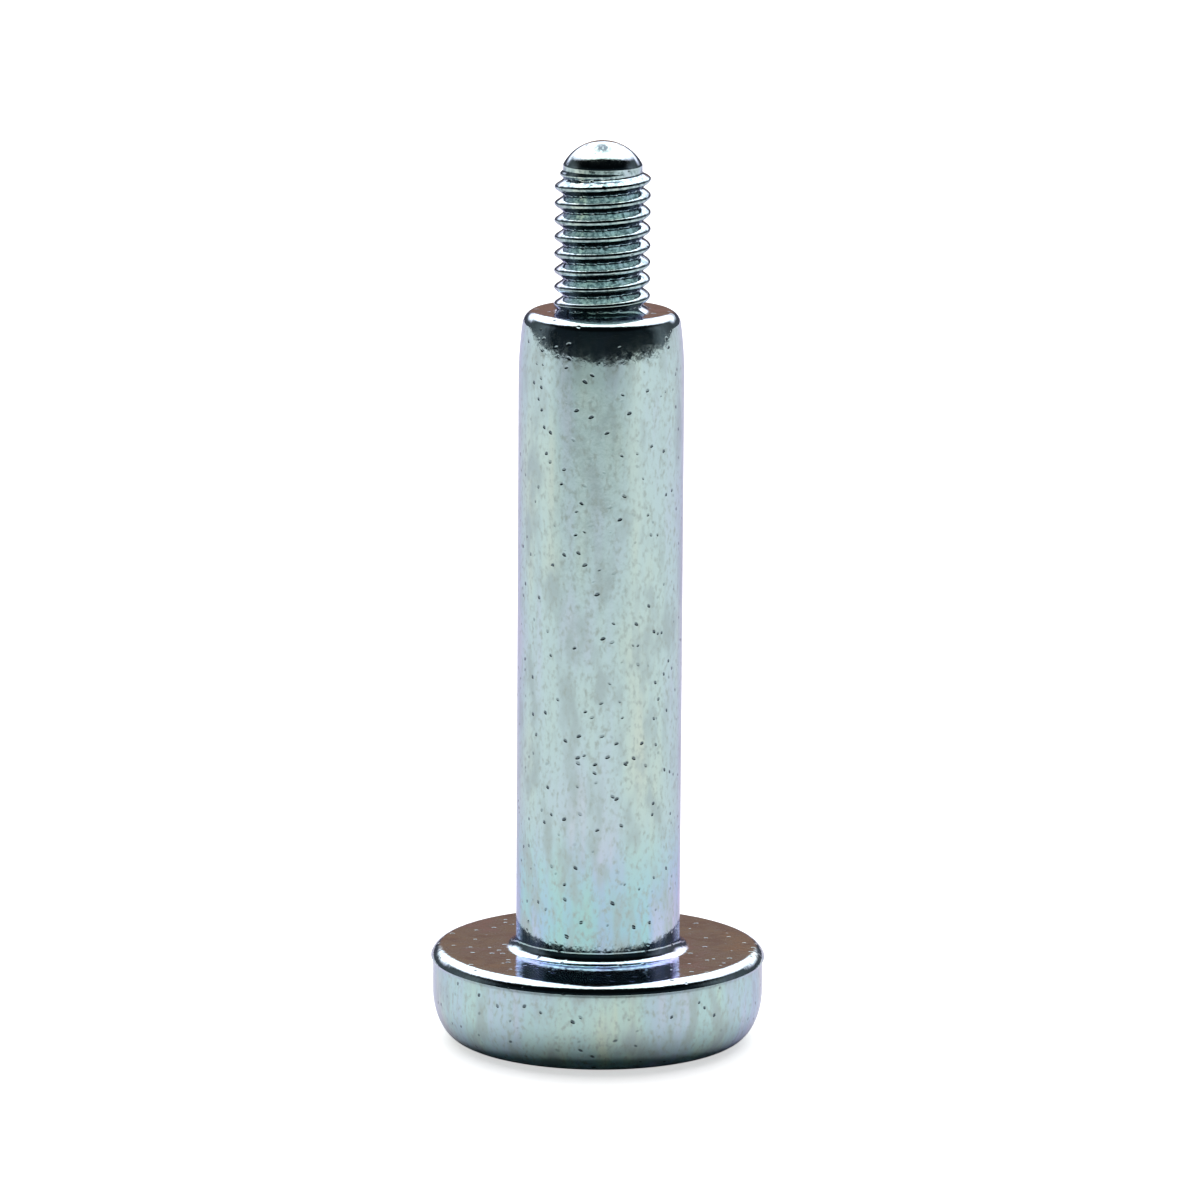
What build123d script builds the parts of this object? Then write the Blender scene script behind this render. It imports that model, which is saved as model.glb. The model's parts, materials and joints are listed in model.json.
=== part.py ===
from build123d import *
import math
import os

# Shoulder bolt, headed and rolled in one piece from steel wire and zinc plated.
# It stands on its head: the origin is the middle of the head's resting face,
# and +Z runs along the bolt towards the threaded end. All sizes are in millimetres.

# Shoulder: the plain bearing surface, which turns in a 7 mm bore
shoulder_diameter = 6.9
shoulder_length = 27.1          # from the bearing face to the shoulder's end face
shoulder_root_radius = 0.5      # fillet that joins the shoulder to the head
shoulder_end_radius = 0.6       # rounded corner at the threaded end
shoulder_draw_in = 0.16         # how far the die pulls the end in, on the radius
shoulder_draw_in_length = 2.3   # over how much of its length

# Head: a flat cheese head whose free side is crowned
head_diameter = 13.9            # across its wall
head_height = 3.9
head_rim_radius = 0.6           # rounding of the edge round the bearing face
head_rim_lip = 0.08             # metal squeezed out over the wall where the two dies met
head_rim_lip_angle = 18.0       # how far short of upright the rounding ends, at the lip
head_rim_step = 0.16            # height of the small slope below the lip
head_crown_width = 1.25         # the crown's rounding, measured along the radius
head_crown_height = 2.05        # and measured up the wall

# Hexagon socket in the crowned side
socket_across_flats = 4.0
socket_depth = 2.0              # of the full hexagon
socket_mouth_chamfer = 0.2
socket_floor_angle = 120.0      # the punch leaves a shallow cone below the hexagon

# Threaded end, drawn as the plain stud that an M4 x 0.7 thread is rolled on to
thread_diameter = 4.0
thread_root_radius = 0.25       # fillet where the stud meets the shoulder's end face
thread_length = 5.55            # from the shoulder's end face to the start of the lead-in
thread_lead_in_angle = 45.0     # slope of the lead-in, from the bolt's axis
point_diameter = 3.3            # plain point that finds the hole
point_straight_length = 0.2
point_dome_height = 1.0         # a shallow ball, not tangent to the point's side

# Heights along the bolt
bearing_face_z = head_height
shoulder_end_z = bearing_face_z + shoulder_length
thread_end_z = shoulder_end_z + thread_length
lead_in_height = (thread_diameter - point_diameter) / 2 / math.tan(math.radians(thread_lead_in_angle))
point_start_z = thread_end_z + lead_in_height
dome_start_z = point_start_z + point_straight_length
tip_z = dome_start_z + point_dome_height

# Radii from the axis
shoulder_radius = shoulder_diameter / 2
thread_radius = thread_diameter / 2
point_radius = point_diameter / 2
root_outer = shoulder_radius + shoulder_root_radius
thread_root_outer = thread_radius + thread_root_radius
head_wall_radius = head_diameter / 2


def head_outline():
    """The resting face, the crown, the wall, the lip and the rim, up to the bearing face."""
    resting_radius = head_wall_radius - head_crown_width
    lip_angle = math.radians(head_rim_lip_angle)
    lip_radius = head_wall_radius + head_rim_lip
    lip_height = bearing_face_z - head_rim_radius * (1 - math.sin(lip_angle))
    bearing_edge = lip_radius - head_rim_radius * math.cos(lip_angle)
    wall_top = lip_height - head_rim_step
    resting_face = Line((0, 0), (resting_radius, 0))
    crown = EllipticalCenterArc(
        (resting_radius, head_crown_height),
        head_crown_width,
        head_crown_height,
        start_angle=270,
        arc_size=90,
    )
    wall = Line((head_wall_radius, head_crown_height), (head_wall_radius, wall_top))
    step = Line((head_wall_radius, wall_top), (lip_radius, lip_height))
    rim = RadiusArc((lip_radius, lip_height), (bearing_edge, bearing_face_z), -head_rim_radius)
    bearing_face = Line((bearing_edge, bearing_face_z), (root_outer, bearing_face_z))
    return [resting_face, crown, wall, step, rim, bearing_face]


def shoulder_outline():
    """The root fillet, the bearing surface, its drawn-in end and the corner, up to the end face."""
    root_top = bearing_face_z + shoulder_root_radius
    draw_angle = 2 * math.atan(shoulder_draw_in / shoulder_draw_in_length)
    draw_radius = shoulder_draw_in_length / math.sin(draw_angle)
    end_radius = shoulder_radius - shoulder_draw_in
    draw_top = shoulder_end_z - shoulder_end_radius * (1 - math.sin(draw_angle))
    draw_start = draw_top - shoulder_draw_in_length
    end_face_edge = end_radius - shoulder_end_radius * math.cos(draw_angle)
    root = RadiusArc((root_outer, bearing_face_z), (shoulder_radius, root_top), shoulder_root_radius)
    bearing = Line((shoulder_radius, root_top), (shoulder_radius, draw_start))
    draw_in = RadiusArc((shoulder_radius, draw_start), (end_radius, draw_top), -draw_radius)
    corner = RadiusArc((end_radius, draw_top), (end_face_edge, shoulder_end_z), -shoulder_end_radius)
    end_face = Line((end_face_edge, shoulder_end_z), (thread_root_outer, shoulder_end_z))
    return [root, bearing, draw_in, corner, end_face]


def thread_outline():
    """The root fillet, the stud, its lead-in and the domed point, back along the axis."""
    root_top = shoulder_end_z + thread_root_radius
    root = RadiusArc((thread_root_outer, shoulder_end_z), (thread_radius, root_top), thread_root_radius)
    stud = Line((thread_radius, root_top), (thread_radius, thread_end_z))
    lead_in = Line((thread_radius, thread_end_z), (point_radius, point_start_z))
    point = Line((point_radius, point_start_z), (point_radius, dome_start_z))
    dome_radius = (point_radius ** 2 + point_dome_height ** 2) / (2 * point_dome_height)
    dome = RadiusArc((point_radius, dome_start_z), (0, tip_z), -dome_radius)
    axis = Line((0, tip_z), (0, 0))
    return [root, stud, lead_in, point, dome, axis]


def bolt_blank():
    """The whole turned form, swept once round the bolt's axis."""
    outline = Wire(head_outline() + shoulder_outline() + thread_outline())
    half_section = Plane.XZ * make_face(outline)
    return revolve(half_section, Axis.Z)


def hexagon_socket():
    """The punched hexagon with its chamfered mouth and coned floor, as the metal it takes away."""
    corner_radius = socket_across_flats / 2 / math.cos(math.radians(30))
    mouth_radius = corner_radius + socket_mouth_chamfer
    floor_depth = socket_across_flats / 2 / math.tan(math.radians(socket_floor_angle / 2))
    hexagon = extrude(RegularPolygon(corner_radius, 6), socket_depth)
    mouth = Pos(0, 0, mouth_radius / 2) * Cone(mouth_radius, 0, mouth_radius)
    floor = Pos(0, 0, socket_depth + floor_depth / 2) * Cone(socket_across_flats / 2, 0, floor_depth)
    return hexagon + mouth + floor


shoulder_bolt = bolt_blank() - hexagon_socket()

os.makedirs("parts", exist_ok=True)
export_step(shoulder_bolt, "parts/shoulder_bolt.step")
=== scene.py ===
# Shoulder bolt in bright zinc plate, standing on its head on a pale table.
import json

import bpy
import numpy as np
from mathutils import Matrix, Vector

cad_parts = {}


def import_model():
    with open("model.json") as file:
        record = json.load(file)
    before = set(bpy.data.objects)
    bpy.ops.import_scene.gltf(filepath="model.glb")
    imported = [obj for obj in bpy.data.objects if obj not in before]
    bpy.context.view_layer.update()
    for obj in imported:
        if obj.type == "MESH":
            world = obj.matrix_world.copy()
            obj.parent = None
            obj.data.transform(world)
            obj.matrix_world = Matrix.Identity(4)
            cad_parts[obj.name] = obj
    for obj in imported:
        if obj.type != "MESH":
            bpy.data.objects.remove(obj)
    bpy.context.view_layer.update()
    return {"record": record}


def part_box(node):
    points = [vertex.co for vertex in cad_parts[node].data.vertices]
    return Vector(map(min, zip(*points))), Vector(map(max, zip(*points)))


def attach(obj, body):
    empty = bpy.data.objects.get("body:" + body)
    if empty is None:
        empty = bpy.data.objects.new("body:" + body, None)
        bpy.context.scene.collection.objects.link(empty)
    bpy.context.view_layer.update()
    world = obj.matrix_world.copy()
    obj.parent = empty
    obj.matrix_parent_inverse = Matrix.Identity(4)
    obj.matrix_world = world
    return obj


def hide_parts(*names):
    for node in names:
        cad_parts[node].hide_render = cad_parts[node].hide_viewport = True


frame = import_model()

mm = 0.001  # metres in a millimetre, the unit that the sizes below are given in
mounts = {mount["name"]: mount for mount in frame["record"]["mounts"]}
boltLow, boltHigh = (np.array(corner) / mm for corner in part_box("shoulder_bolt"))
headHeight = mounts["bearing_face"]["pos_m"][2] / mm
shoulderRadius = mounts["shoulder"]["dims"]["r_mm"]
shoulderEnd = mounts["shoulder_end"]["pos_m"][2] / mm
threadRadius = mounts["thread"]["dims"]["r_mm"]
tip = boltHigh[2]
print("frame: bolt", np.round(boltHigh - boltLow, 2), "mm")


def hexColour(code):
    # sRGB hex to linear: x / 12.92 below 0.04045, else ((x + 0.055) / 1.055) ** 2.4
    channels = [int(code[i:i + 2], 16) / 255 for i in (1, 3, 5)]
    linear = [c / 12.92 if c <= 0.04045 else ((c + 0.055) / 1.055) ** 2.4 for c in channels]
    return (*linear, 1.0)


def addNode(tree, kind, settings=None, inputs=None):
    # one node with its settings, and its inputs by name or number: each is a value, another node's
    # socket, or a node, which stands for the first output that it has in use
    node = tree.nodes.new(kind)
    for name, value in (settings or {}).items():
        setattr(node, name, value)
    for key, value in (inputs or {}).items():
        named = [socket for socket in node.inputs if socket.enabled and socket.name == key]
        socket = named[0] if named else node.inputs[key]
        if isinstance(value, bpy.types.Node):
            value = [output for output in value.outputs if output.enabled][0]
        if isinstance(value, bpy.types.NodeSocket):
            tree.links.new(value, socket)
        else:
            socket.default_value = value
    return node


# the bolt's surface, all sizes in millimetres
bolt = {
    "columns": 240,           # round the axis, a multiple of 12, so that the hexagon's corners have one
    "threadPitch": 0.7,
    "threadDepth": 0.37,      # rolled and plated, so a little shallower than the basic profile
    "threadStart": 0.386,     # share of a turn, where the crest leaves the shoulder's end face
    "threadFullness": 0.72,   # below 1 the crest is broad and the root narrow
    "threadRowsPerTurn": 20,
    "rimRadius": 0.6,         # round of the head's rim beside the shoulder
    "rimLip": 0.08,           # how far the rim is squeezed out over the head's wall
    "rimLipAngle": 18.0,      # degrees, where the rim's round begins
    "rimStep": 0.16,          # height in which the wall swells to the rim
    "crownWidth": 1.25,       # the head's outer end, a quarter of an ellipse
    "crownHeight": 2.05,
    "rootRadius": 0.5,        # fillet between head and shoulder
    "cornerRadius": 0.6,      # soft corner of the shoulder's end
    "drawIn": 0.16,           # how far the shoulder narrows towards that corner
    "drawInLength": 2.3,
    "threadRootRadius": 0.25,
    "leadInHeight": 0.35,     # the thread dies away in this height
    "pointStraight": 0.2,
    "pointRadius": 1.65,
    "domeHeight": 1.0,
    "socketFlats": 4.0,
    "socketDepth": 2.0,
    "socketChamfer": 0.2,
    "socketFloor": 1.155,     # height of the cone that the floor ends in
    "sharpAngle": 38.0,       # degrees, edges turning by more than this stay crisp
    # how many rows of the mesh each stretch gets
    "rows": {"floor": 8, "walls": 8, "chamfer": 3, "top": 8, "crown": 20, "wall": 6, "lip": 6, "rim": 16,
             "face": 8, "root": 16, "shoulder": 40, "drawIn": 14, "corner": 16, "end": 4, "dome": 24},
}


def stretch(start, end, count):
    # straight run: start + s (end - start), s from 0 to just under 1
    s = np.arange(count)[:, None] / count
    return np.array(start) + s * (np.array(end) - np.array(start))


def quarter(centre, radii, fromAngle, toAngle, count):
    # arc: centre + radii * (cos a, sin a), a in degrees from one angle to just short of the other
    a = np.radians(fromAngle + (toAngle - fromAngle) * np.arange(count) / count)[:, None]
    return np.array(centre) + np.hstack([radii[0] * np.cos(a), radii[1] * np.sin(a)])


def easeCurve(start, startSlope, end, endSlope, count):
    # cubic from start to end, leaving and arriving along the two slopes (Hermite's four terms)
    s = np.arange(count)[:, None] / count
    p, q, u, v = (np.array(item, float) for item in (start, end, startSlope, endSlope))
    return (p * (2 * s**3 - 3 * s**2 + 1) + u * (s**3 - 2 * s**2 + s)
            + q * (3 * s**2 - 2 * s**3) + v * (s**3 - s**2))


def boltGrid(size):
    # every row is a ring (radius, height) of the section, from the socket's floor out, over the head
    # and up to the tip; the socket's rows swap the circle for a hexagon and the thread's rows add
    # a groove whose phase turns once per pitch
    rowsOf = size["rows"]
    headRadius = boltHigh[0]
    wallRadius = headRadius - size["rimLip"]
    domeStart = tip - size["domeHeight"]
    turns = 2 * np.pi * np.arange(size["columns"]) / size["columns"]

    # hexagon with corners on X: r = half flats / cos(angle to the nearest flat's middle)
    halfFlats = size["socketFlats"] / 2
    hexagon = halfFlats / np.cos(np.mod(turns, np.pi / 3) - np.pi / 6)
    mouthRadius = halfFlats / np.cos(np.pi / 6) + size["socketChamfer"]
    socketRows = []
    for s in np.linspace(0, 1, rowsOf["floor"] + 1)[1:]:  # cone of the floor
        coneHeight = size["socketDepth"] + size["socketFloor"] * (1 - s)
        socketRows.append((np.full_like(turns, s * halfFlats), coneHeight))
    socketRows.append((hexagon, size["socketDepth"]))
    chamferTop = mouthRadius - hexagon
    for s in np.linspace(0, 1, rowsOf["walls"] + 1)[1:]:  # the six walls, to where the chamfer cuts them
        socketRows.append((hexagon, size["socketDepth"] + (chamferTop - size["socketDepth"]) * s))
    for s in np.linspace(0, 1, rowsOf["chamfer"] + 1)[1:]:
        socketRows.append((hexagon + (mouthRadius - hexagon) * s, chamferTop * (1 - s)))
    radius = np.array([np.broadcast_to(r, turns.shape) for r, z in socketRows])
    height = np.array([np.broadcast_to(z, turns.shape) for r, z in socketRows])

    lipAngle = np.radians(size["rimLipAngle"])
    lipHeight = headHeight - size["rimRadius"] * (1 - np.sin(lipAngle))
    rimCentre = (headRadius - size["rimRadius"] * np.cos(lipAngle), headHeight - size["rimRadius"])
    restRadius = wallRadius - size["crownWidth"]
    rootOuter = shoulderRadius + size["rootRadius"]
    drawAngle = 2 * np.arctan(size["drawIn"] / size["drawInLength"])
    drawRadius = size["drawInLength"] / np.sin(drawAngle)
    endRadius = shoulderRadius - size["drawIn"]
    cornerCentre = (endRadius - size["cornerRadius"] * np.cos(drawAngle),
                    shoulderEnd - size["cornerRadius"])
    drawStart = cornerCentre[1] + size["cornerRadius"] * np.sin(drawAngle) - size["drawInLength"]
    drawDegrees = np.degrees(drawAngle)
    section = np.vstack([
        stretch((mouthRadius, 0), (restRadius, 0), rowsOf["top"])[1:],
        quarter((restRadius, size["crownHeight"]), (size["crownWidth"], size["crownHeight"]),
                -90, 0, rowsOf["crown"]),
        stretch((wallRadius, size["crownHeight"]), (wallRadius, lipHeight - size["rimStep"]),
                rowsOf["wall"]),
        easeCurve((wallRadius, lipHeight - size["rimStep"]), (0, size["rimStep"]),
                  (headRadius, lipHeight), (0, size["rimStep"] / 2), rowsOf["lip"]),
        quarter(rimCentre, (size["rimRadius"],) * 2, size["rimLipAngle"], 90, rowsOf["rim"]),
        stretch((rimCentre[0], headHeight), (rootOuter, headHeight), rowsOf["face"]),
        quarter((rootOuter, headHeight + size["rootRadius"]), (size["rootRadius"],) * 2,
                270, 180, rowsOf["root"]),
        stretch((shoulderRadius, headHeight + size["rootRadius"]), (shoulderRadius, drawStart),
                rowsOf["shoulder"]),
        quarter((shoulderRadius - drawRadius, drawStart), (drawRadius,) * 2,
                0, drawDegrees, rowsOf["drawIn"]),
        quarter(cornerCentre, (size["cornerRadius"],) * 2, drawDegrees, 90, rowsOf["corner"]),
        stretch((cornerCentre[0], shoulderEnd), (threadRadius + size["threadRootRadius"], shoulderEnd),
                rowsOf["end"]),
    ])
    radius = np.vstack([radius, np.repeat(section[:, :1], len(turns), 1)])
    height = np.vstack([height, np.repeat(section[:, 1:], len(turns), 1)])

    # thread: radius = core + depth ((1 - cos of the phase) / 2) ^ fullness, the phase being height /
    # pitch less the turn; it dies away over the lead-in, and an elliptical fillet joins it to the
    # shoulder's end
    pitch, depth = size["threadPitch"], size["threadDepth"]
    rows = int(np.ceil((domeStart - shoulderEnd) / pitch * size["threadRowsPerTurn"]))
    z = np.linspace(shoulderEnd, domeStart, rows + 1)[:-1, None]
    phase = (z - shoulderEnd) / pitch - turns / (2 * np.pi) - size["threadStart"]
    wave = ((1 - np.cos(2 * np.pi * phase)) / 2) ** size["threadFullness"]
    pointStart = domeStart - size["pointStraight"]
    rootRadius = threadRadius - depth
    fade = np.clip((pointStart - z) / size["leadInHeight"], 0, 1)
    fade = fade * fade * (3 - 2 * fade)
    core = rootRadius + (size["pointRadius"] - rootRadius) * (1 - fade)
    ring = core + (threadRadius - core) * wave * fade
    rise = np.clip((z - shoulderEnd) / (2 * size["threadRootRadius"]), 0, 1)
    filletOuter = threadRadius + size["threadRootRadius"]
    fillet = filletOuter - (filletOuter - rootRadius) * np.sqrt(1 - (1 - rise) ** 2)
    ring = np.maximum(ring, fillet)
    radius = np.vstack([radius, ring])
    height = np.vstack([height, np.repeat(z, len(turns), 1)])

    # ball end: a sphere through the point's edge and the tip
    ball = (size["pointRadius"] ** 2 + size["domeHeight"] ** 2) / (2 * size["domeHeight"])
    spread = np.arcsin(size["pointRadius"] / ball) * np.linspace(1, 0, rowsOf["dome"] + 1)[:-1, None]
    radius = np.vstack([radius, np.repeat(ball * np.sin(spread), len(turns), 1)])
    height = np.vstack([height, np.repeat(tip - ball + ball * np.cos(spread), len(turns), 1)])
    floorTop = size["socketDepth"] + size["socketFloor"]
    return radius * np.cos(turns), radius * np.sin(turns), height, floorTop


def closedSurface(name, x, y, z, firstPole, lastPole):
    # rings joined into quads, the last column to the first, with a fan of triangles at each pole
    rows, columns = x.shape
    points = np.stack([x, y, z], -1).reshape(-1, 3)
    points = np.vstack([points, firstPole, lastPole]) * mm
    index = np.arange(rows * columns).reshape(rows, columns)
    near, far = index[:-1], index[1:]
    quads = np.stack([near, np.roll(near, -1, 1), np.roll(far, -1, 1), far], -1).reshape(-1, 4)
    firstFan = np.stack([np.roll(index[0], -1), index[0], np.full(columns, rows * columns)], -1)
    lastFan = np.stack([index[-1], np.roll(index[-1], -1), np.full(columns, rows * columns + 1)], -1)
    mesh = bpy.data.meshes.new(name)
    corners = np.concatenate([quads.ravel(), firstFan.ravel(), lastFan.ravel()])
    starts = np.concatenate([np.arange(len(quads)) * 4, len(quads) * 4 + np.arange(2 * columns) * 3])
    mesh.vertices.add(len(points))
    mesh.vertices.foreach_set("co", points.ravel())
    mesh.loops.add(len(corners))
    mesh.loops.foreach_set("vertex_index", corners.astype(np.int32))
    mesh.polygons.add(len(starts))
    mesh.polygons.foreach_set("loop_start", starts.astype(np.int32))
    mesh.update(calc_edges=True)
    mesh.validate()
    mesh.polygons.foreach_set("use_smooth", np.ones(len(mesh.polygons), bool))
    mesh.set_sharp_from_angle(angle=np.radians(bolt["sharpAngle"]))
    piece = bpy.data.objects.new(name, mesh)
    bpy.context.collection.objects.link(piece)
    return piece


x, y, z, floorTop = boltGrid(bolt)
plated = closedSurface("plated_bolt", x, y, z, [[0, 0, floorTop]], [[0, 0, tip]])
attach(plated, "root")
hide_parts("shoulder_bolt")
print("bolt surface:", len(plated.data.polygons), "faces")


# the plating
plating = {
    # colours of the clear passivate from its thinnest place to its thickest
    "film": ["#D0DFBC", "#B8DDCB", "#ACD9D5", "#AAD6DC", "#AFCCE3", "#D1D0E9"],
    "plain": "#CBD9D8",           # where the film is even
    "edgeTint": "#E4DCF3",        # at a grazing angle
    "hazeColour": "#AFC2C2",
    "dullColour": "#A9B8B3",
    "threadColour": "#80999B",    # painted shade: the thread is coloured darker, standing in for the dark room it mirrors and the shade in its grooves
    "pitColour": "#5A676D",
    "evenAbove": 13.0,            # mm, the film is even above this height
    "unevenBelow": 5.0,
    "evenShare": 0.35,            # how much of the film's colour is left there
    "headShare": 0.55,            # and on the head
    # noises: mm across the bolt, mm along it, detail, and a place of its own in the noise
    "layers": {
        "streaks": (1.1, 11.0, 3.0, 0.0),
        "clouds": (3.6, 7.2, 2.0, 7.3),
        "haze": (0.9, 2.4, 3.0, 11.9),
        "dull": (0.17, 0.28, 4.0, 3.1),
        "ripple": (0.42, 0.67, 3.0, 1.7),
        "grain": (0.10, 0.15, 2.0, 5.0),
    },
    # where each smooth step on a noise is 0 and where it is 1
    "edges": {
        "thickness": (0.62, 1.38),
        "hazy": (0.46, 0.70),
        # patches of the thread's painted shade, on the dull noise
        "dulled": (0.45, 0.80),
        "threadDulled": (0.42, 0.66),
        "scuffed": (0.30, 0.52),
        "pitShown": (0.40, 0.95),
    },
    "threadFade": (0.3, 1.0),     # mm above the shoulder's end, where the thread's look sets in
    "headFade": 1.0,              # mm under the bearing face, where the head's look ends
    "pitSpacing": (0.44, 0.76),   # mm between pits, across and along their slant
    "pitSlants": (68.0, -58.0),   # degrees from the axis, one for each set of pits
    "pitSize": 0.20,              # share of the spacing
    "pitCore": 0.4,               # share of that size which is full depth
    "tipMark": (0.0, -0.72, 37.72),  # mm, where the header's pin pressed
    "tipMarkSize": 0.50,
    "tipMarkStrength": 1.0,
    "roughness": (0.05, 0.13),    # where the dull noise is low, and where it is high
    "roughnessNoise": (0.3, 0.7),
    "rippleHeight": 0.009,        # mm, the skin of the wire under the zinc
    "threadRipple": 2.6,          # times as high in the thread
    "headRipple": 1.8,            # and on the head
    "grainHeight": 0.0011,
    "pitDepth": 0.013,
}


def zincPlate():
    # Bright zinc with a clear blue passivate, barrel plated on cold-headed steel. The zinc is a
    # bluish mirror, a little wavy and pitted where the steel was. The passivate is a thin film whose
    # colour runs with its thickness from straw over green and blue to lilac, in streaks along the bolt.
    material = bpy.data.materials.new("brightZincPlate")
    material.use_nodes = True
    tree = material.node_tree
    tree.nodes.clear()
    place = addNode(tree, "ShaderNodeTexCoord").outputs["Object"]
    point = addNode(tree, "ShaderNodeMapping", {"vector_type": "TEXTURE"},
                    {"Vector": place, "Scale": (mm,) * 3})
    height = addNode(tree, "ShaderNodeSeparateXYZ", None, {"Vector": point}).outputs["Z"]

    layer = {}
    for name, (width, length, detail, offset) in plating["layers"].items():
        fit = addNode(tree, "ShaderNodeMapping", {"vector_type": "TEXTURE"},
                      {"Vector": point, "Location": (offset,) * 3, "Scale": (width, width, length)})
        layer[name] = addNode(tree, "ShaderNodeTexNoise", None,
                              {"Vector": fit, "Scale": 1.0, "Detail": detail})
    filmDepth = addNode(tree, "ShaderNodeMath", {"operation": "ADD"},
                        {0: layer["streaks"], 1: layer["clouds"]})
    markDistance = addNode(tree, "ShaderNodeVectorMath", {"operation": "DISTANCE"},
                           {0: point, 1: plating["tipMark"]})

    # smooth steps: what each reads, where it is 0 and where it is 1
    edges = plating["edges"]
    domeStart = tip - bolt["domeHeight"]
    threadLow, threadFull = plating["threadFade"]
    ranges = {
        "thickness": (filmDepth, *edges["thickness"]),
        "uneven": (height, plating["evenAbove"], plating["unevenBelow"]),
        "aboveHead": (height, headHeight - plating["headFade"], plating["unevenBelow"]),
        "threadFoot": (height, shoulderEnd + threadLow, shoulderEnd + threadFull),
        "threadTop": (height, domeStart, domeStart - bolt["pointStraight"]),
        "hazy": (layer["haze"], *edges["hazy"]),
        "dulled": (layer["dull"], *edges["dulled"]),
        # where the thread's painted shade lies, in patches
        "threadDulled": (layer["dull"], *edges["threadDulled"]),
        "scuffed": (layer["dull"], *edges["scuffed"]),
        "marked": (markDistance, plating["tipMarkSize"], plating["tipMarkSize"] / 2),
    }
    # pits: one slanted spot to a cell of each set, fainter in most cells and missing in many
    for number, slant in enumerate(plating["pitSlants"]):
        across, along = plating["pitSpacing"]
        fit = addNode(tree, "ShaderNodeMapping", {"vector_type": "TEXTURE"},
                      {"Vector": point, "Location": (slant,) * 3, "Rotation": (0, np.radians(slant), 0),
                       "Scale": (across, across, along)})
        cells = addNode(tree, "ShaderNodeTexVoronoi", None, {"Vector": fit, "Scale": 1.0})
        chance = addNode(tree, "ShaderNodeSeparateColor", None, {"Color": cells.outputs["Color"]})
        ranges[f"spot{number}"] = (cells, plating["pitSize"], plating["pitSize"] * plating["pitCore"])
        ranges[f"shown{number}"] = (chance, *edges["pitShown"])
    step = {}
    for name, (value, start, end) in ranges.items():
        step[name] = addNode(tree, "ShaderNodeMapRange", {"interpolation_type": "SMOOTHSTEP"},
                             {"Value": value, "From Min": start, "From Max": end})

    # sums and products of the steps, each from the ones above it
    sums = {
        "threaded": ("MULTIPLY", step["threadFoot"], step["threadTop"]),
        # painted shade over the thread, in patches
        "threadTint": ("MULTIPLY", "threaded", step["threadDulled"]),
        "lowFilm": ("MULTIPLY", step["uneven"], step["aboveHead"]),
        "shoulderFilm": ("MAXIMUM", "lowFilm", plating["evenShare"]),
        "onHead": ("SUBTRACT", 1.0, step["aboveHead"]),
        "headFilm": ("MULTIPLY", "onHead", plating["headShare"]),
        "filmShare": ("MAXIMUM", "shoulderFilm", "headFilm"),
        "pits0": ("MULTIPLY", step["spot0"], step["shown0"]),
        "pits1": ("MULTIPLY", step["spot1"], step["shown1"]),
        "bothPits": ("MAXIMUM", "pits0", "pits1"),
        "scuff": ("MULTIPLY", step["marked"], step["scuffed"]),
        "tipScuff": ("MULTIPLY", "scuff", plating["tipMarkStrength"]),
        "pits": ("MAXIMUM", "bothPits", "tipScuff"),
        "threadWaves": ("MULTIPLY", "threaded", plating["threadRipple"] - 1),
        "headWaves": ("MULTIPLY", "onHead", plating["headRipple"] - 1),
        "moreWaves": ("ADD", "threadWaves", "headWaves"),
        "allWaves": ("ADD", "moreWaves", 1.0),
        "waves": ("MULTIPLY", layer["ripple"], "allWaves"),
    }
    done = {}
    for name, (operation, first, second) in sums.items():
        first, second = (done[part] if isinstance(part, str) else part for part in (first, second))
        done[name] = addNode(tree, "ShaderNodeMath", {"operation": operation}, {0: first, 1: second})

    film = addNode(tree, "ShaderNodeValToRGB", None, {"Fac": step["thickness"]})
    elements = film.color_ramp.elements
    while len(elements) < len(plating["film"]):
        elements.new(0.5)
    for number, code in enumerate(plating["film"]):
        elements[number].position = number / (len(plating["film"]) - 1)
        elements[number].color = hexColour(code)

    # one coat of colour over another, from the plain zinc up
    colour = hexColour(plating["plain"])
    coats = [(done["filmShare"], film), (step["hazy"], hexColour(plating["hazeColour"])),
             (step["dulled"], hexColour(plating["dullColour"])),
             # the thread's coat is painted shade, darker than the zinc
             (done["threadTint"], hexColour(plating["threadColour"])),
             (done["pits"], hexColour(plating["pitColour"]))]
    for share, coat in coats:
        colour = addNode(tree, "ShaderNodeMix", {"data_type": "RGBA"},
                         {"Factor": share, "A": colour, "B": coat})

    # relief, each on the one before: the wire's waves, the zinc's grain and the pits
    relief = [(done["waves"], "rippleHeight", False), (layer["grain"], "grainHeight", False),
              (done["pits"], "pitDepth", True)]
    under = {}
    for shape, depthName, sunk in relief:
        bump = addNode(tree, "ShaderNodeBump", {"invert": sunk},
                       {"Height": shape, "Distance": plating[depthName] * mm, **under})
        under = {"Normal": bump}

    smooth, coarse = plating["roughness"]
    low, high = plating["roughnessNoise"]
    rough = addNode(tree, "ShaderNodeMapRange", None,
                    {"Value": layer["dull"], "From Min": low, "From Max": high,
                     "To Min": smooth, "To Max": coarse})
    shader = addNode(tree, "ShaderNodeBsdfPrincipled", None,
                     {"Base Color": colour, "Metallic": 1.0, "Roughness": rough,
                      "Specular Tint": hexColour(plating["edgeTint"]), **under})
    addNode(tree, "ShaderNodeOutputMaterial", None, {"Surface": shader})
    print("plating:", len(tree.nodes), "nodes")
    return material


plated.data.materials.append(zincPlate())

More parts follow.
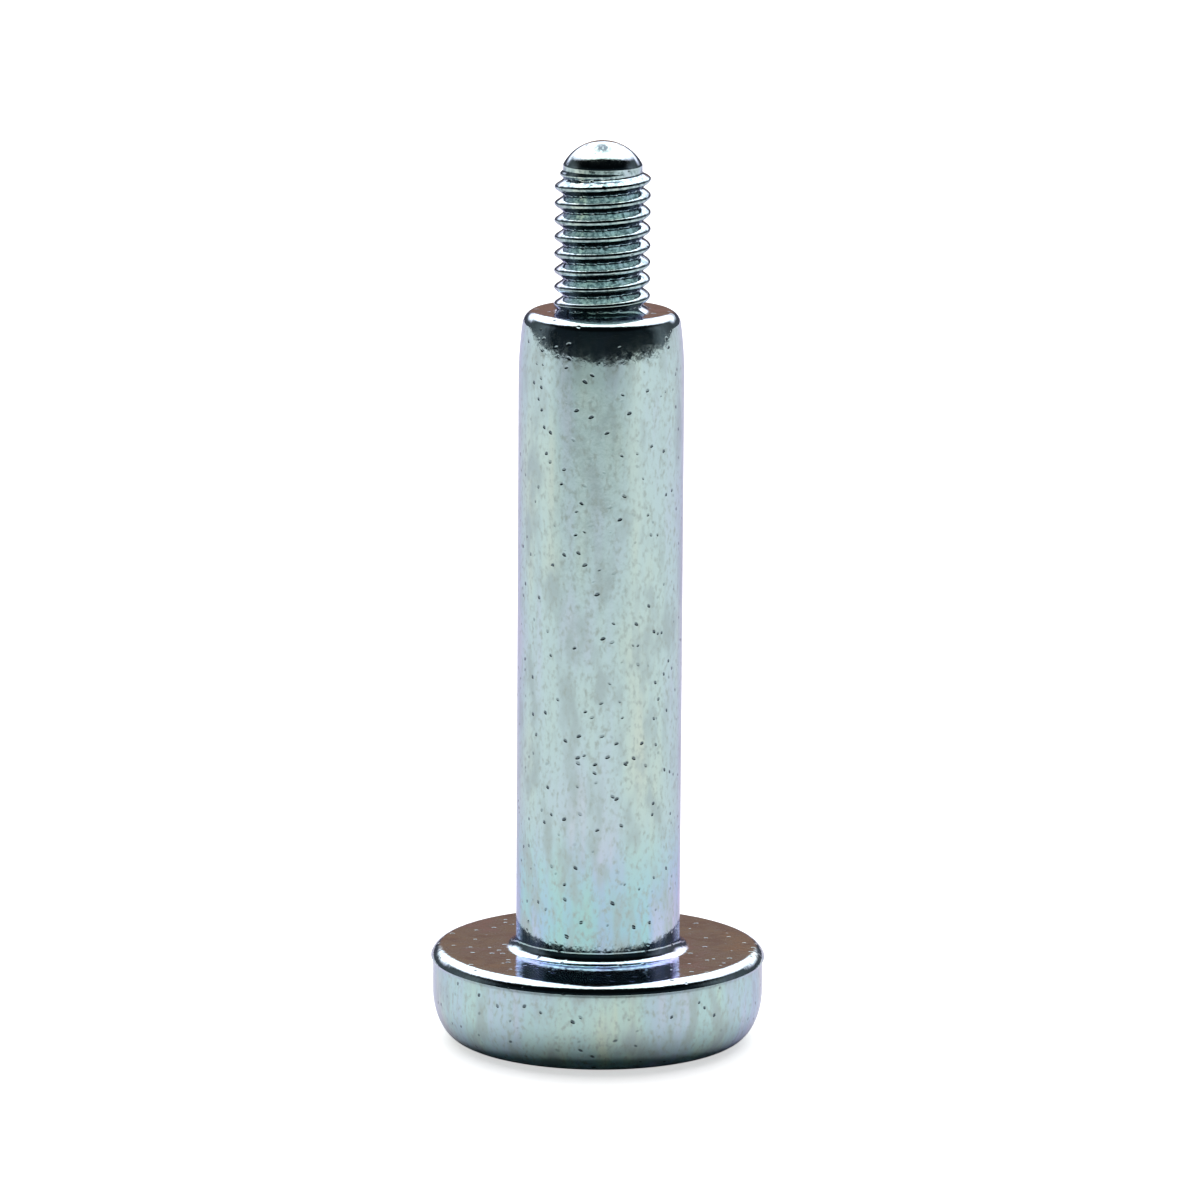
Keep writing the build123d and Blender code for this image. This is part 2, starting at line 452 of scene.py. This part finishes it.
# table, light and camera
studio = {
    "tableColour": "#F3F4F4",
    "tableShade": "#BCC2C0",         # the table in front, in the shade of the camera
    "shadeTurn": 14.0,               # degrees from the front towards the left
    "shadeEdges": (70, 20),          # degrees to either side where it starts and where it is full
    "shadeReach": (50, 200),         # mm from the bolt, likewise
    "tableSize": 1700,               # mm, square
    "tableGap": 0.01,                # mm under the head, so that no two faces lie in one plane
    "tableGlow": 0.6,                # lifts the table to white where the camera sees it
    "tentMiddle": 122.0,             # degrees up from the front, past the zenith
    "tentHalfWidth": 42.0,
    "edge": 4.0,                     # half width of the tent's and the door's soft edge
    "tentStrength": 2.7,
    "tentSides": "#E6D6F7",          # the cloth's colour to the left and right
    "sidesFrom": (0.35, 0.90),       # how far sideways the ray points there
    "skirtHeight": (0.17, 0.34),     # the tent's back skirt fades in over these heights of the ray
    "skirtDepth": (0.6, 0.85),       # and over these depths towards the back
    "roomColours": {0.0: "#1B2227", 0.38: "#1B2227", 0.55: "#6C7078", 0.75: "#55595E", 1.0: "#55595E"},
    "roomHigh": "#06090C",           # dark ceiling in front of the tent
    "ceiling": (0.45, 0.70),
    "doorColour": "#A5836C",         # brown door low behind the bolt
    "doorElevation": 11.5,
    "doorHalfWidth": 10.0,
    "cameraDistance": 329.2,         # mm
    "cameraElevation": 11.56,
    "cameraRoll": 0.375,
    "cameraLens": 236.4,             # mm, on a sensor 36 mm wide
    "sensorWidth": 36,
    "cameraClip": 0.01,              # m
    "aim": (0.0, 0.0, 18.73),        # mm, the point that it looks at
}


def table():
    # white card: plain diffuse paper, shaded in front where the bolt mirrors it, with a little glow
    # for the camera alone so that it reads as white
    half, top = studio["tableSize"] / 2 * mm, -studio["tableGap"] * mm
    corners = [(-half, -half, top), (half, -half, top), (half, half, top), (-half, half, top)]
    mesh = bpy.data.meshes.new("table")
    mesh.from_pydata(corners, [], [(0, 1, 2, 3)])
    plane = bpy.data.objects.new("table", mesh)
    bpy.context.collection.objects.link(plane)
    material = bpy.data.materials.new("whiteCard")
    material.use_nodes = True
    tree = material.node_tree
    tree.nodes.clear()
    toCamera = addNode(tree, "ShaderNodeLightPath").outputs["Is Camera Ray"]
    place = addNode(tree, "ShaderNodeTexCoord").outputs["Object"]
    turn = np.radians(studio["shadeTurn"])
    outward = addNode(tree, "ShaderNodeVectorMath", {"operation": "NORMALIZE"}, {0: place})
    forward = addNode(tree, "ShaderNodeVectorMath", {"operation": "DOT_PRODUCT"},
                      {0: outward, 1: (-np.sin(turn), -np.cos(turn), 0)})
    away = addNode(tree, "ShaderNodeVectorMath", {"operation": "LENGTH"}, {0: place})
    shade = addNode(tree, "ShaderNodeMath", {"operation": "SUBTRACT"}, {0: 1.0, 1: toCamera})
    for value, (start, end) in [(forward, np.cos(np.radians(studio["shadeEdges"]))),
                                (away, mm * np.array(studio["shadeReach"]))]:
        step = addNode(tree, "ShaderNodeMapRange", {"interpolation_type": "SMOOTHSTEP"},
                       {"Value": value, "From Min": start, "From Max": end})
        shade = addNode(tree, "ShaderNodeMath", {"operation": "MULTIPLY"}, {0: shade, 1: step})
    card = addNode(tree, "ShaderNodeMix", {"data_type": "RGBA"},
                   {"Factor": shade, "A": hexColour(studio["tableColour"]),
                    "B": hexColour(studio["tableShade"])})
    paper = addNode(tree, "ShaderNodeBsdfDiffuse", None, {"Color": card})
    lift = addNode(tree, "ShaderNodeMath", {"operation": "MULTIPLY"},
                   {0: toCamera, 1: studio["tableGlow"]})
    glow = addNode(tree, "ShaderNodeEmission", None, {"Strength": lift})
    both = addNode(tree, "ShaderNodeAddShader", None, {0: paper, 1: glow})
    addNode(tree, "ShaderNodeOutputMaterial", None, {"Surface": both})
    mesh.materials.append(material)
    print("table:", studio["tableSize"], "mm square")


def world():
    # soft tent: bright where the direction is within tentHalfWidth of the tent's middle and on its
    # back skirt, but not at the door; round it a room that goes from dark in front to grey behind
    scene = bpy.context.scene
    scene.world = bpy.data.worlds.new("softTent")
    scene.world.use_nodes = True
    tree = scene.world.node_tree
    tree.nodes.clear()
    direction = addNode(tree, "ShaderNodeTexCoord").outputs["Generated"]
    axes = addNode(tree, "ShaderNodeSeparateXYZ", None, {"Vector": direction})
    edge = studio["edge"]
    ranges = {
        "skirtUp": (axes.outputs["Z"], *studio["skirtHeight"]),
        "skirtBack": (axes.outputs["Y"], *studio["skirtDepth"]),
        "ceiling": (axes.outputs["Z"], *studio["ceiling"]),
    }
    for name, tilt, halfWidth in [("tent", studio["tentMiddle"], studio["tentHalfWidth"]),
                                  ("door", 180 - studio["doorElevation"], studio["doorHalfWidth"])]:
        # cosine between the ray and a direction tilted up from the front
        aim = np.radians(tilt)
        cosine = addNode(tree, "ShaderNodeVectorMath", {"operation": "DOT_PRODUCT"},
                         {0: direction, 1: (0, -np.cos(aim), np.sin(aim))})
        ranges[name] = (cosine, *np.cos(np.radians([halfWidth + edge, halfWidth - edge])))
    step = {}
    for name, (value, start, end) in ranges.items():
        step[name] = addNode(tree, "ShaderNodeMapRange", {"interpolation_type": "SMOOTHSTEP"},
                             {"Value": value, "From Min": start, "From Max": end})
    skirt = addNode(tree, "ShaderNodeMath", {"operation": "MULTIPLY"},
                    {0: step["skirtUp"], 1: step["skirtBack"]})
    cloth = addNode(tree, "ShaderNodeMath", {"operation": "MAXIMUM"}, {0: step["tent"], 1: skirt})
    noDoor = addNode(tree, "ShaderNodeMath", {"operation": "SUBTRACT"}, {0: 1.0, 1: step["door"]})
    lit = addNode(tree, "ShaderNodeMath", {"operation": "MULTIPLY"}, {0: cloth, 1: noDoor})

    # the room's colour by how far back the ray points, from 0 in front to 1 behind
    around = addNode(tree, "ShaderNodeMapRange", None, {"Value": axes.outputs["Y"], "From Min": -1.0})
    room = addNode(tree, "ShaderNodeValToRGB", None, {"Fac": around})
    elements = room.color_ramp.elements
    while len(elements) < len(studio["roomColours"]):
        elements.new(0.5)
    for element, (position, code) in zip(elements, studio["roomColours"].items()):
        element.position = position
        element.color = hexColour(code)
    seen = room
    for share, name in [(step["ceiling"], "roomHigh"), (step["door"], "doorColour")]:
        seen = addNode(tree, "ShaderNodeMix", {"data_type": "RGBA"},
                       {"Factor": share, "A": seen, "B": hexColour(studio[name])})
    inside = addNode(tree, "ShaderNodeBackground", None, {"Color": seen})
    sideways = addNode(tree, "ShaderNodeMath", {"operation": "ABSOLUTE"}, {0: axes.outputs["X"]})
    start, end = studio["sidesFrom"]
    atSides = addNode(tree, "ShaderNodeMapRange", {"interpolation_type": "SMOOTHSTEP"},
                      {"Value": sideways, "From Min": start, "From Max": end})
    clothColour = addNode(tree, "ShaderNodeMix", {"data_type": "RGBA"},
                          {"Factor": atSides, "A": (1, 1, 1, 1), "B": hexColour(studio["tentSides"])})
    bright = addNode(tree, "ShaderNodeBackground", None,
                     {"Color": clothColour, "Strength": studio["tentStrength"]})
    light = addNode(tree, "ShaderNodeMixShader", None, {0: lit, 1: inside, 2: bright})
    # the camera itself sees plain white behind the table
    white = addNode(tree, "ShaderNodeBackground", None, {"Color": (1, 1, 1, 1)})
    toCamera = addNode(tree, "ShaderNodeLightPath").outputs["Is Camera Ray"]
    both = addNode(tree, "ShaderNodeMixShader", None, {0: toCamera, 1: light, 2: white})
    addNode(tree, "ShaderNodeOutputWorld", None, {"Surface": both})
    print("world: tent at", studio["tentMiddle"], "degrees")


def camera():
    scene = bpy.context.scene
    data = bpy.data.cameras.new("camera")
    data.lens = studio["cameraLens"]
    data.sensor_width = studio["sensorWidth"]
    data.clip_start = studio["cameraClip"]
    eye = bpy.data.objects.new("camera", data)
    scene.collection.objects.link(eye)
    angle = np.radians(studio["cameraElevation"])
    aim = Vector(studio["aim"]) * mm
    outward = Vector((0, -np.cos(angle), np.sin(angle)))
    eye.location = aim + outward * studio["cameraDistance"] * mm
    roll = Matrix.Rotation(np.radians(studio["cameraRoll"]), 3, "Z")
    eye.rotation_euler = (outward.to_track_quat("Z", "Y").to_matrix() @ roll).to_euler()
    scene.camera = eye
    print("camera:", studio["cameraDistance"], "mm away")


table()
world()
camera()
bpy.context.scene.view_settings.view_transform = "Standard"
